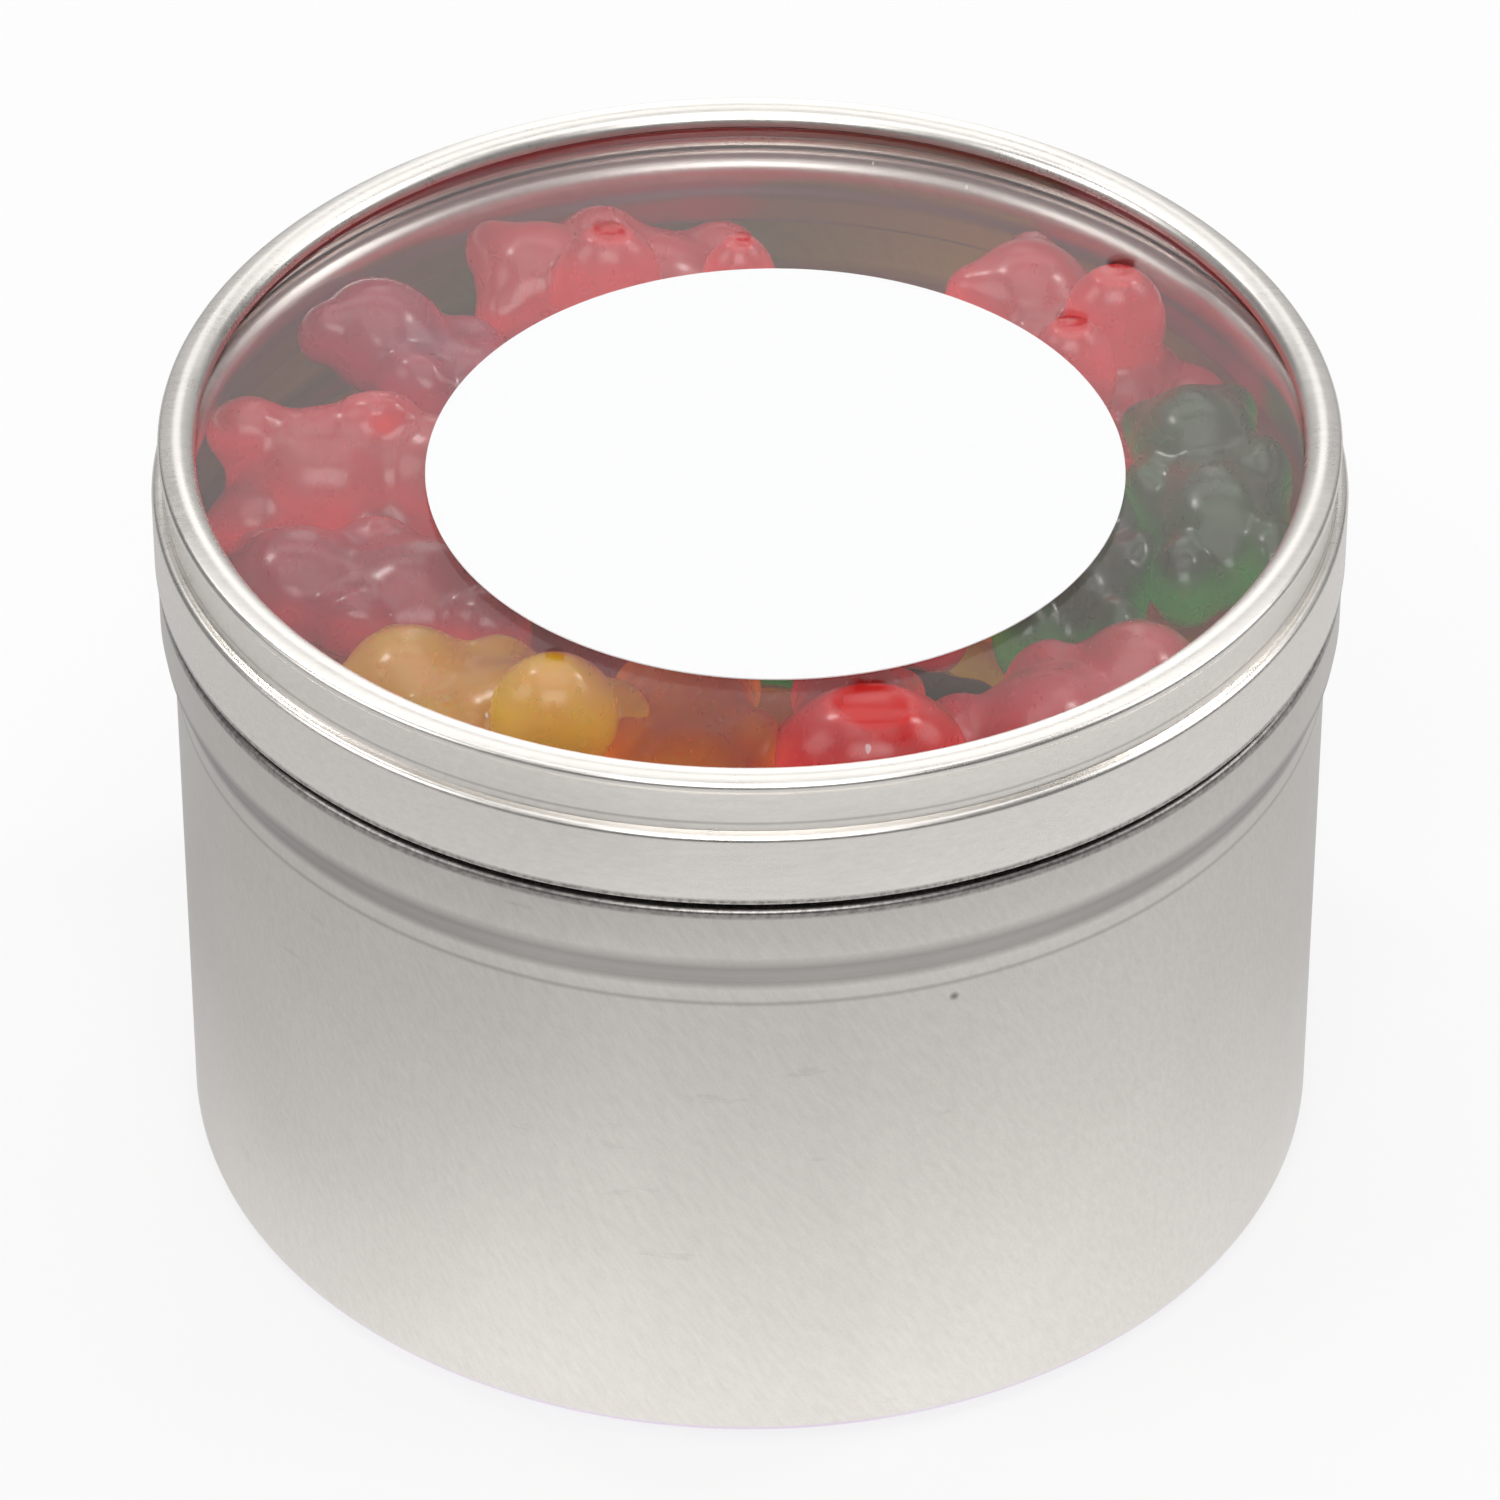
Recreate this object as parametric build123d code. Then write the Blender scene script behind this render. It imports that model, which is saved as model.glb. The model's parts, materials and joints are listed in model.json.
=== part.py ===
"""Round tinplate tin with a slip-on window lid, filled with soft moulded sweets.

The tin stands on its base at the origin, with Z along its axis and -Y at the front.
Lengths are in millimetres and angles in degrees.
"""
import math
import os

from build123d import *

# Whole tin
tin_height = 60.2
wall_radius = 41.8
sheet = 0.3
facet_sag = 0.05
fold_share = 0.8

# Drawn body
base_bend = 2.0
stand_width = 5.2
panel_rise = 0.6
panel_bend = 0.5
neck_inset = 0.4
neck_height = 6.2
neck_bend = 0.4
curl_width = 0.6
curl_tail = 0.5
swell_height = 8.8
swell_span = 6.0
swell_proud = 0.9
swell_bend = 0.9

# Lid ring
lid_depth = 10.1
rim_clearance = 0.2
seat_clearance = 0.1
hem_height = 1.0
hem_gap = 0.1
step_drop = 4.2
step_width = 0.9
step_bend = 0.55
root_rise = 0.65
root_flare = 0.12
bead_proud = 0.3
bead_depth = 0.9
bead_bend = 0.5
crown_width = 1.2
opening_inset = 2.25
lip_width = 0.45
lip_drop = 1.05

# Window, retaining ring and label
window_thickness = 0.5
window_clearance = 0.1
retainer_height = 1.1
retainer_width = 1.2
retainer_chamfer = 0.3
label_radius = 24.9
label_thickness = 0.12
label_right = 1.8
label_front = 4.0

# Sweets
sweet_length = 20.5
sweet_width = 11.5
sweet_thickness = 8.0
sweet_gap = 0.3
upper_room = 13.4
upper_turn = 70
layer_turn = 60
lower_colours = ["red", "orange", "yellow", "green", "clear"]

# Half of a sweet's outline from feet to head, as shares of its length and width
outline_shares = [
    (-0.50, 0.12),
    (-0.47, 0.44),
    (-0.22, 0.35),
    (0.06, 0.50),
    (0.18, 0.32),
    (0.34, 0.41),
    (0.50, 0.18),
]
back_share = 0.90
belly_share = 0.72
waist_height_share = 0.42

# Upper sweets: place of the centre to the right and to the back as shares of a sweet's length,
# its height over the lower layers as a share of a sweet's thickness, then the heading of the
# head from the right, the rise of the head, and the roll about the length.
upper_sweet_shares = {
    "red_sweet_at_back": (-0.48, 1.55, 0.92, 193, 14, -20),
    "purple_sweet_at_back_left": (-1.15, 0.90, 0.95, 150, 20, 15),
    "red_sweet_at_left": (-1.46, 0.21, 0.95, 0, 0, 48),
    "crimson_sweet_at_left": (-1.33, -0.32, 0.75, 170, 0, 0),
    "yellow_sweet_at_front_left": (-0.94, -0.95, 0.75, 150, 0, 0),
    "orange_sweet_at_front": (-0.20, -1.18, 0.61, 92, 0, 0),
    "red_sweet_at_front": (0.36, -1.16, 0.61, 88, 0, 0),
    "pink_sweet_at_front_right": (1.13, -0.96, 0.75, 41, 0, 0),
    "green_sweet_at_front_right": (1.16, -0.05, 0.58, 84, 0, 0),
    "green_sweet_at_right": (1.67, 0.28, 0.82, 98, 6, -10),
    "red_sweet_at_back_right": (1.26, 1.15, 0.93, 135, 20, 0),
}
middle_sweet_shares = [(0.10, 0.87, 0.56, 0), (-0.40, 0.22, 0.56, 12), (0.43, 0.00, 0.56, 100)]

# Sweets of the layer under them that show between them: right, back and heading
under_sweet_shares = {
    "peach_sweet_at_left": (-1.46, -0.36, 120),
    "amber_sweet_at_front": (0.04, -0.77, 85),
    "amber_sweet_at_right": (1.58, 0.00, 85),
}

# Sizes that follow
neck_radius = wall_radius - neck_inset
curl_radius = neck_radius + curl_width
lid_radius = curl_radius + rim_clearance + hem_gap + 2 * sheet
skirt_radius = lid_radius - step_width
opening_radius = skirt_radius - opening_inset
step_height = tin_height - step_drop
rim_height = step_height - sheet - seat_clearance
inner_radius = wall_radius - sheet
panel_height = panel_rise + sheet
layer_height = sweet_thickness + sweet_gap
lower_layers = math.floor((step_height - upper_room - panel_height) / layer_height)
lower_height = panel_height + lower_layers * layer_height


def bend_points(before, corner, after, radius):
    """Points of a bend that rounds a corner, spaced so that its facets stay near the arc."""
    into = (Vector(*corner) - Vector(*before)).normalized()
    out = (Vector(*after) - Vector(*corner)).normalized()
    turn = math.radians(into.get_angle(out))
    if radius == 0 or turn == 0:
        return [Vector(*corner)]
    reach = radius * math.tan(turn / 2)
    count = max(1, round(turn / (2 * math.acos(max(0, 1 - facet_sag / radius)))))
    start = Vector(*corner) - into * reach
    side = (out - into * math.cos(turn)) * (1 / math.sin(turn))
    angles = [turn * i / count for i in range(count + 1)]
    return [start + into * (radius * math.sin(a)) + side * (radius * (1 - math.cos(a))) for a in angles]


def centre_line(corners):
    """Sheet centre line through corners of radius, height and bend radius."""
    places = [(r, z) for r, z, _ in corners]
    points = [Vector(*places[0])]
    for i in range(1, len(corners) - 1):
        points += bend_points(places[i - 1], places[i], places[i + 1], corners[i][2])
    return points + [Vector(*places[-1])]


def beside(points, distance):
    """The line beside a centre line, mitred where it turns."""
    runs = [(b - a).normalized() for a, b in zip(points, points[1:])]
    normals = [Vector(-run.Y, run.X) for run in runs]
    normals = [normals[0]] + normals + [normals[-1]]
    pairs = zip(points, normals, normals[1:])
    return [p + (a + b) * (distance / (1 + a.dot(b))) for p, a, b in pairs]


def turned(outline):
    """Turn a closed outline of radius and height round the tin's axis."""
    section = make_face(Polyline(*[(p.X, 0, p.Y) for p in outline], close=True))
    return revolve(section, axis=Axis.Z)


def drawn_sheet(corners):
    """Bent sheet of even thickness, turned round the tin's axis."""
    line = centre_line(corners)
    return turned(beside(line, sheet / 2) + beside(line, -sheet / 2)[::-1])


def tin_body():
    """Can with a recessed base, a straight wall, a swelled stop, a neck and a curled rim."""
    half = sheet / 2
    stand = wall_radius - stand_width
    wall = wall_radius - half
    swell = wall + swell_proud
    neck = neck_radius - half
    curl = curl_radius - half
    rim = rim_height - half
    swell_top = rim_height - neck_height - half
    swell_start = rim_height - neck_height - swell_height
    slope = math.atan2(swell_proud, swell_span / 2)
    flare_bend = swell_span / 2 / math.tan(slope / 2)
    flare_share = 0.95
    curl_bend = (curl - neck) / 2 * fold_share
    return drawn_sheet(
        [
            (0, panel_rise + half, 0),
            (stand - panel_rise, panel_rise + half, panel_bend),
            (stand, half, panel_bend),
            (wall, half, base_bend - half),
            (wall, swell_start, 0),
            (swell, swell_start + swell_span / 2, flare_bend * flare_share),
            (swell, swell_top, swell_bend - half),
            (neck, swell_top, neck_bend),
            (neck, rim, curl_bend),
            (curl, rim, curl_bend),
            (curl, rim - curl_bend - curl_tail, 0),
        ]
    )


def lid_ring():
    """Lid ring: lip over the window, rounded crown, upper skirt, step, lower skirt and hem."""
    half = sheet / 2
    lip = tin_height - half - lip_drop
    crown = tin_height - half
    skirt = skirt_radius - half
    bead = skirt + bead_proud
    step = step_height - half
    lower = lid_radius - half
    edge = tin_height - lid_depth + half
    hem = lower - sheet - hem_gap
    hem_bend = (lower - hem) / 2 * fold_share
    return drawn_sheet(
        [
            (opening_radius, lip, 0),
            (opening_radius + lip_width, lip, lip_width / 2),
            (bead - crown_width, crown, bead_bend),
            (bead, crown, bead_bend),
            (bead, crown - bead_depth + bead_proud, 0),
            (skirt, crown - bead_depth, 0),
            (skirt, step_height + root_rise, 0),
            (skirt + root_flare, step, 0),
            (lower, step, step_bend - half),
            (lower, edge, hem_bend),
            (hem, edge, hem_bend),
            (hem, edge + hem_height, 0),
        ]
    )


def window_top():
    """Height of the window's upper face, which lies against the lid's lip."""
    return tin_height - lip_drop - sheet


def window():
    """Clear disc under the lip of the lid ring."""
    radius = skirt_radius - sheet - window_clearance
    under = window_top() - window_thickness
    return Pos(0, 0, under) * extrude(Circle(radius), window_thickness)


def retaining_ring():
    """Ring pressed into the upper skirt, which holds the window up against the lip."""
    outer = skirt_radius - sheet
    inner = outer - retainer_width
    top = window_top() - window_thickness
    low = top - retainer_height
    corners = [(inner, top), (outer, top), (outer, low), (inner + retainer_chamfer, low)]
    corners.append((inner, low + retainer_chamfer))
    return turned([Vector(*corner) for corner in corners])


def window_label():
    """Bare round paper label on the window, a little off its centre."""
    place = Pos(label_right, -label_front, window_top())
    return place * extrude(Circle(label_radius), label_thickness)


def sweet():
    """Moulded sweet lying on its flat back, with feet, arms, ears and a narrower belly side."""
    half = [(x * sweet_length, y * sweet_width) for x, y in outline_shares]
    outline = half + [(x, -y) for x, y in reversed(half)]
    levels = [(0, back_share), (waist_height_share, 1), (1, belly_share)]
    rings = []
    for height, size in levels:
        up = (height - 1 / 2) * sweet_thickness
        rings.append([Vector(x * size, y * size, up) for x, y in outline])
    faces = [Face(Wire.make_polygon(ring)) for ring in (rings[0], rings[-1])]
    for low, high in zip(rings, rings[1:]):
        for i in range(len(outline)):
            faces.append(Face(Wire.make_polygon([low[i - 1], low[i], high[i], high[i - 1]])))
    return Solid(Shell(faces))


def layer_place(right, back, layer, heading):
    """Place of a sweet that lies flat in one of the lower layers."""
    height = panel_height + layer * layer_height + sweet_gap + sweet_thickness / 2
    return Pos(right, back, height) * Rot(0, 0, heading)


def under_places():
    """Places of the named sweets in the uppermost of the lower layers."""
    places = {}
    for name, (right, back, heading) in under_sweet_shares.items():
        side = right * sweet_length
        depth = back * sweet_length
        places[name] = layer_place(side, depth, lower_layers - 1, heading)
    return places


def is_free(place, others):
    """Whether a sweet at this place lies clear of the others in its layer."""
    level = [other for other in others if abs(other.position.Z - place.position.Z) < sweet_gap]
    return all((place.position - other.position).length > sweet_length for other in level)


def lower_places():
    """Places of the sweets in rows and layers that fill the tin under the upper ones."""
    step_x = sweet_length + sweet_gap
    step_y = sweet_width + sweet_gap
    reach = math.ceil(inner_radius / step_y)
    rows = range(-reach, reach + 1)
    taken = under_places().values()
    places = []
    for layer in reversed(range(lower_layers)):
        turn = Rot(0, 0, upper_turn + (lower_layers - 1 - layer) * layer_turn)
        for column in rows:
            for row in rows:
                x = column * step_x
                y = row * step_y
                corner = math.hypot(abs(x) + sweet_length / 2, abs(y) + sweet_width / 2)
                place = turn * layer_place(x, y, layer, 0)
                if corner < inner_radius and is_free(place, taken):
                    places.append(place)
    return places


def lower_sweets():
    """The hidden lower sweets, one group for each colour."""
    one = sweet()
    places = lower_places()
    groups = {}
    for i, colour in enumerate(lower_colours):
        chosen = places[i :: len(lower_colours)]
        groups[f"lower_{colour}_sweets"] = Compound([place * one for place in chosen])
    return groups


def upper_place(right, back, height):
    """Place above the lower layers, from its shares of a sweet's length and thickness."""
    up = lower_height + height * sweet_thickness
    return Pos(right * sweet_length, back * sweet_length, up)


def upper_sweets():
    """The sweets seen through the window, and the ones under the label."""
    one = sweet()
    solids = {name: place * one for name, place in under_places().items()}
    for name, (right, back, height, heading, rise, roll) in upper_sweet_shares.items():
        turn = Rot(0, 0, heading) * Rot(0, -rise, 0) * Rot(roll, 0, 0)
        solids[name] = upper_place(right, back, height) * turn * one
    middle = []
    for right, back, height, heading in middle_sweet_shares:
        middle.append(upper_place(right, back, height) * Rot(0, 0, heading) * one)
    solids["sweets_under_label"] = Compound(middle)
    return solids


def build_parts():
    """Each sub-part's solid by its name."""
    parts = {
        "tin_body": tin_body(),
        "lid_ring": lid_ring(),
        "lid_window": window(),
        "window_retaining_ring": retaining_ring(),
        "window_label": window_label(),
    }
    parts.update(upper_sweets())
    parts.update(lower_sweets())
    return parts


def main():
    """Write one STEP file for each sub-part."""
    os.makedirs("parts", exist_ok=True)
    for name, solid in build_parts().items():
        export_step(solid, f"parts/{name}.step")


main()
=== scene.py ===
import json
import logging
import math
from contextlib import contextmanager
from dataclasses import dataclass, replace
from enum import Enum
from typing import Any, Callable, Iterator

import bpy
import numpy as np
from mathutils import Matrix, Vector

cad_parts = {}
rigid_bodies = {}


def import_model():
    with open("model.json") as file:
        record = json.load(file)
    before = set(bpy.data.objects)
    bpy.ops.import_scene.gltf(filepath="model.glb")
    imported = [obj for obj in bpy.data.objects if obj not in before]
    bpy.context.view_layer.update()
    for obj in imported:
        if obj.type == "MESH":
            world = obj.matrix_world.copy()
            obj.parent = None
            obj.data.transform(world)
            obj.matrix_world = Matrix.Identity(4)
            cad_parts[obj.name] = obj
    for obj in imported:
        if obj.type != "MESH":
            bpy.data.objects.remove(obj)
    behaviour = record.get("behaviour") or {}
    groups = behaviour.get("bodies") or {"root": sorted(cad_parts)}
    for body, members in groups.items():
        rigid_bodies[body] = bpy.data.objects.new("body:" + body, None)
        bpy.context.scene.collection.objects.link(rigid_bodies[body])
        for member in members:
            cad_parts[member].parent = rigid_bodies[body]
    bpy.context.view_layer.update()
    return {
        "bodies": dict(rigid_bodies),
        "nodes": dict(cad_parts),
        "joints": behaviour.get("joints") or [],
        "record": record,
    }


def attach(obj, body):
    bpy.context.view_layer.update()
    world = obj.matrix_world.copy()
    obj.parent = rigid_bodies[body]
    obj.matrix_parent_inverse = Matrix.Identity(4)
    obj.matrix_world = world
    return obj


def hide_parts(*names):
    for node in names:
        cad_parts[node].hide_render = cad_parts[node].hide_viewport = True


MM = 0.001
LOG = logging.getLogger("tin")
Corner = tuple[float, float, float]
Colour = tuple[float, float, float]
Lobe = tuple[Corner, Corner]
ORIGIN: Corner = (0.0, 0.0, 0.0)
EVEN: Corner = (1.0, 1.0, 1.0)
FLAT: Corner = (1.0, 1.0, 0.0)
BLACK: Colour = (0.0, 0.0, 0.0)
WHITE: Colour = (1.0, 1.0, 1.0)
PAINTED_LIGHT_MARK = "thin"


class Slot(Enum):
    """The record's material slots."""

    METAL = "metal"
    WINDOW = "window"
    LABEL = "label"
    RED = "red_sweet"
    CRIMSON = "crimson_sweet"
    PINK = "pink_sweet"
    PURPLE = "purple_sweet"
    YELLOW = "yellow_sweet"
    ORANGE = "orange_sweet"
    GREEN = "green_sweet"
    CLEAR = "clear_sweet"


class Ground(Enum):
    """What a recipe's shader lies on, by its output node."""

    SURFACE = "ShaderNodeOutputMaterial"
    ROOM = "ShaderNodeOutputWorld"


@dataclass(frozen=True)
class Grain:
    """A noise texture.

    Args:
        scale: Its features to the millimetre.
        detail: Its octaves.
        rough: The strength of the finer octaves.
        low: The value under which a patch of it has ended.
        high: The value over which a patch is full.
        stretch: Scale of the place along each axis.
        tilt: Turn of the place about the axis from front to back, in degrees.
    """

    scale: float
    detail: float = 2.0
    rough: float = 0.5
    low: float = 0.35
    high: float = 0.65
    stretch: Corner = EVEN
    tilt: float = 0.0


@dataclass
class Reading:
    """A shader socket whose value can stand in a Python sum.

    Args:
        recipe: The recipe that the socket's node belongs to.
        socket: The node's output socket.
    """

    recipe: "Recipe"
    socket: bpy.types.NodeSocket

    def work(self, operation: str, first: Any, second: Any = 0.0) -> "Reading":
        """Add a Math node of one operation on values or readings."""
        return self.recipe.node("ShaderNodeMath", {"operation": operation}, {0: first, 1: second})

    def __add__(self, other: Any) -> "Reading":
        """Return this plus the other."""
        return self.work("ADD", self, other)

    def __radd__(self, other: Any) -> "Reading":
        """Return the other plus this."""
        return self.work("ADD", other, self)

    def __sub__(self, other: Any) -> "Reading":
        """Return this less the other."""
        return self.work("SUBTRACT", self, other)

    def __rsub__(self, other: Any) -> "Reading":
        """Return the other less this."""
        return self.work("SUBTRACT", other, self)

    def __mul__(self, other: Any) -> "Reading":
        """Return this times the other."""
        return self.work("MULTIPLY", self, other)

    def __rmul__(self, other: Any) -> "Reading":
        """Return the other times this."""
        return self.work("MULTIPLY", other, self)

    def __pow__(self, power: float) -> "Reading":
        """Return this to a power."""
        return self.work("POWER", self, power)

    def __abs__(self) -> "Reading":
        """Return this without its sign."""
        return self.work("ABSOLUTE", self)


class Recipe:
    """The nodes of one material, or of the room's light."""

    def __init__(self, name: str, ground: Ground = Ground.SURFACE) -> None:
        """Start with no nodes.

        Args:
            name: The material's or the room's name.
            ground: What the shader lies on.
        """
        library = bpy.data.worlds if ground is Ground.ROOM else bpy.data.materials
        self.ground = ground
        self.owner = library.new(name)
        self.owner.use_nodes = True
        self.tree = self.owner.node_tree
        self.tree.nodes.clear()

    def node(
        self, kind: str, settings: dict | None = None, inputs: dict | None = None, output: Any = 0
    ) -> Reading:
        """Add one node.

        Args:
            kind: The node's type.
            settings: Its own settings, set first.
            inputs: Values, colours or readings by the names or numbers of its input sockets.
            output: The name or number of the output socket that is returned.

        Returns:
            The output socket's reading.
        """
        made = self.tree.nodes.new(kind)
        for key, value in (settings or {}).items():
            setattr(made, key, value)
        for key, value in (inputs or {}).items():
            socket = made.inputs[key]
            if isinstance(value, Reading):
                self.tree.links.new(value.socket, socket)
            elif socket.type == "RGBA":
                socket.default_value = (*value, 1.0)
            else:
                socket.default_value = value
        return Reading(self, made.outputs[output])

    def place(self, stretch: Corner = EVEN, tilt: float = 0.0) -> Reading:
        """Read the place on the object in millimetres.

        Args:
            stretch: Scale along each axis.
            tilt: Turn about the axis from front to back, in degrees, before the stretch.

        Returns:
            The place as a vector.
        """
        where = self.node("ShaderNodeTexCoord", output="Object")
        if tilt:
            turn = (0.0, math.radians(tilt), 0.0)
            where = self.node("ShaderNodeMapping", {}, {"Vector": where, "Rotation": turn})
        scale = tuple(share / MM for share in stretch)
        return self.node("ShaderNodeMapping", {}, {"Vector": where, "Scale": scale})

    def along(self, axis: str) -> Reading:
        """Read the place along one axis, X, Y or Z, in millimetres."""
        return self.node("ShaderNodeSeparateXYZ", {}, {0: self.place()}, axis)

    def away(self, centre: Corner = ORIGIN, stretch: Corner = EVEN) -> Reading:
        """Read how far the stretched place is from a point, in millimetres."""
        inputs = {0: self.place(stretch), 1: centre}
        return self.node("ShaderNodeVectorMath", {"operation": "DISTANCE"}, inputs, "Value")

    def ray(self, kind: str) -> Reading:
        """Read whether the light's path is of a kind, such as Camera or Glossy."""
        return self.node("ShaderNodeLightPath", output=f"Is {kind} Ray")

    def noise(self, grain: Grain) -> Reading:
        """Add a noise texture.

        Args:
            grain: Its sizes.

        Returns:
            Its value, around a half.
        """
        inputs = {
            "Vector": self.place(grain.stretch, grain.tilt),
            "Scale": grain.scale,
            "Detail": grain.detail,
            "Roughness": grain.rough,
        }
        return self.node("ShaderNodeTexNoise", {"noise_dimensions": "3D"}, inputs)

    def patches(self, grain: Grain, to_low: float = 0.0, to_high: float = 1.0) -> Reading:
        """Add a noise texture as patches, with values from one number to another."""
        return self.spread(self.noise(grain), grain.low, grain.high, to_low, to_high)

    def spread(
        self, value: Reading, low: float, high: float, to_low: float = 0.0, to_high: float = 1.0
    ) -> Reading:
        """Map a range of values onto another.

        Args:
            value: The reading.
            low: Lowest value in.
            high: Highest value in.
            to_low: Value out at the lowest.
            to_high: Value out at the highest.

        Returns:
            The mapped reading, held inside its range.
        """
        inputs = {"Value": value, "From Min": low, "From Max": high, "To Min": to_low, "To Max": to_high}
        return self.node("ShaderNodeMapRange", {"clamp": True}, inputs)

    def below(self, value: Reading, limit: float, fade: float) -> Reading:
        """Give one up to a limit, falling to nothing over a fade past it."""
        return self.spread(value, limit, limit + fade, 1.0, 0.0)

    def blend(self, share: Any, first: Any, second: Any) -> Reading:
        """Mix two colours or readings by a share of the second."""
        return self.node("ShaderNodeMix", {"data_type": "RGBA"}, {0: share, 6: first, 7: second}, 2)

    def mix(self, share: Reading, first: Reading, second: Reading) -> Reading:
        """Mix two shaders by a share of the second."""
        return self.node("ShaderNodeMixShader", {}, {0: share, 1: first, 2: second})

    def bump(self, height: Reading, strength: float, depth: float, under: Reading | None = None) -> Reading:
        """Turn a height into a normal.

        Args:
            height: The height from 0 to 1.
            strength: How strong the relief is.
            depth: Its depth in millimetres.
            under: The normal of a coarser relief under it.

        Returns:
            The normal.
        """
        inputs = {"Height": height, "Strength": strength, "Distance": depth * MM}
        if under is not None:
            inputs["Normal"] = under
        return self.node("ShaderNodeBump", {}, inputs)

    def coat(self, inputs: dict, settings: dict | None = None) -> bpy.types.Material:
        """Finish with a general surface shader of the given inputs and settings."""
        return self.finish(self.node("ShaderNodeBsdfPrincipled", settings, inputs))

    def finish(self, shader: Reading) -> bpy.types.Material | bpy.types.World:
        """Put a shader on the surface or round the room.

        Args:
            shader: The shader's reading.

        Returns:
            The finished material or world.
        """
        made = self.tree.nodes.new(self.ground.value)
        self.tree.links.new(shader.socket, made.inputs["Surface"])
        return self.owner


@dataclass(frozen=True)
class Tinplate:
    """Satin tinplate with a fine rolled grain, a cloudy sheen, scuffs, a nick, and painted shade and
    reflection.

    Heights, widths and radii are in millimetres, and strengths go from 0 to 1. The grain runs along the
    axis over which it is stretched least. A rise, fall or fade is the width of a soft border. The crease
    shade is a dark line of painted shade along a crease, the dark reflection a darker band of painted
    reflection, and the lid edge shade painted shade at and under the lid's edge, broken up by the
    speckle. The lacquer lies within inside_radius, where that isn't 0, up to the rolled rim, and
    neck_step is how much further in the sheet stands over neck_height.
    """

    name: str
    roughness: float = 0.34
    smoother: float = 0.05
    rougher: float = 0.06
    grain: float = 0.25
    grain_depth: float = 0.02
    along: Corner = (1.0, 1.0, 0.22)
    closer: float = 3.0
    tilt: float = 32.0
    fine_share: float = 0.4
    scuff_strength: float = 0.12
    # Painted shade: a dark line along the crease where the sheet turns sharply.
    crease_shade_height: float = 40.6
    crease_shade_width: float = 0.30
    crease_shade_strength: float = 0.45
    # Painted reflection: a darker band, on the can over the flare, standing for a dark reflection.
    dark_reflection_low: float = 41.8
    dark_reflection_high: float = 45.4
    dark_reflection_rise: float = 0.8
    dark_reflection_fall: float = 1.1
    dark_reflection_strength: float = 0.84
    # Painted shade at and under the lid's edge, broken up by the speckle.
    lid_edge_shade_height: float = 49.25
    lid_edge_shade_width: float = 0.30
    lid_edge_shade_fade: float = 0.25
    nick: Corner = (14.1, -39.2, 39.3)
    nick_radius: float = 0.15
    nick_fade: float = 0.30
    inside_radius: float = 0.0
    inside_fade: float = 0.08
    neck_height: float = 49.35
    neck_fade: float = 0.1
    neck_step: float = 0.4
    roll_height: float = 53.4
    roll_fade: float = 0.5
    colour: Colour = (0.74, 0.71, 0.67)
    shade: Colour = (0.64, 0.61, 0.575)
    dark: Colour = (0.26, 0.245, 0.235)
    lacquer: Colour = (0.68, 0.59, 0.71)
    drawn: Grain = Grain(2.4, 3.0, 0.6, low=0.3, high=0.7)
    fine: Grain = Grain(7.0, 2.0, 0.6)
    clouds: Grain = Grain(0.09, 3.0, 0.55)
    scuffs: Grain = Grain(0.55, 4.0, 0.65, low=0.66, high=0.72, stretch=(0.25, 0.25, 1.0))
    speckle: Grain = Grain(2.6, high=0.6)

    def marks(self, recipe: Recipe) -> Reading:
        """Draw the painted shade in the crease, the band of painted dark reflection, the painted shade
        at the lid's edge and the real nick.

        Args:
            recipe: The material's recipe.

        Returns:
            How dark each place is, from 0 to 1.
        """
        height = recipe.along("Z")
        # Painted shade in the crease, a band of painted dark reflection and painted shade at the lid's
        # edge; the nick is a real mark.
        line = recipe.below(abs(height - self.crease_shade_height), 0.0, self.crease_shade_width) * self.crease_shade_strength
        rise = 1.0 - recipe.below(height, self.dark_reflection_low, self.dark_reflection_rise)
        fall = recipe.below(height, self.dark_reflection_high - self.dark_reflection_fall, self.dark_reflection_fall)
        lid_edge_shade = recipe.below(abs(height - self.lid_edge_shade_height), self.lid_edge_shade_width, self.lid_edge_shade_fade)
        speckle = recipe.patches(self.speckle, 0.95, 0.6)
        nick = recipe.below(recipe.away(self.nick), self.nick_radius, self.nick_fade)
        return line + rise * fall * self.dark_reflection_strength + lid_edge_shade * speckle + nick

    def inside(self, recipe: Recipe) -> Reading:
        """Find the sheet's inner face below the rolled rim.

        Args:
            recipe: The material's recipe.

        Returns:
            One on the inner face, else nothing.
        """
        height = recipe.along("Z")
        step = (1.0 - recipe.below(height, self.neck_height, self.neck_fade)) * self.neck_step
        within = recipe.below(recipe.away(ORIGIN, FLAT) + step, self.inside_radius, self.inside_fade)
        return within * recipe.below(height, self.roll_height, self.roll_fade)

    def shading(self, recipe: Recipe) -> Reading:
        """Draw the rolled grain, coarse and fine.

        Args:
            recipe: The material's recipe.

        Returns:
            The grain's height, from 0 to 1.
        """
        closer = tuple(min(1.0, share * self.closer) for share in self.along)
        drawn = recipe.noise(replace(self.drawn, stretch=self.along, tilt=self.tilt))
        fine = recipe.noise(replace(self.fine, stretch=closer, tilt=self.tilt))
        both = drawn * (1.0 - self.fine_share) + fine * self.fine_share
        return recipe.spread(both, self.drawn.low, self.drawn.high)

    def material(self) -> bpy.types.Material:
        """Make the material.

        Returns:
            The material.
        """
        recipe = Recipe(self.name)
        shaded = self.shading(recipe)
        sheen = recipe.patches(self.clouds) * 0.5 + shaded * 0.5
        colour = recipe.blend(shaded, self.shade, self.colour)
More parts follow.
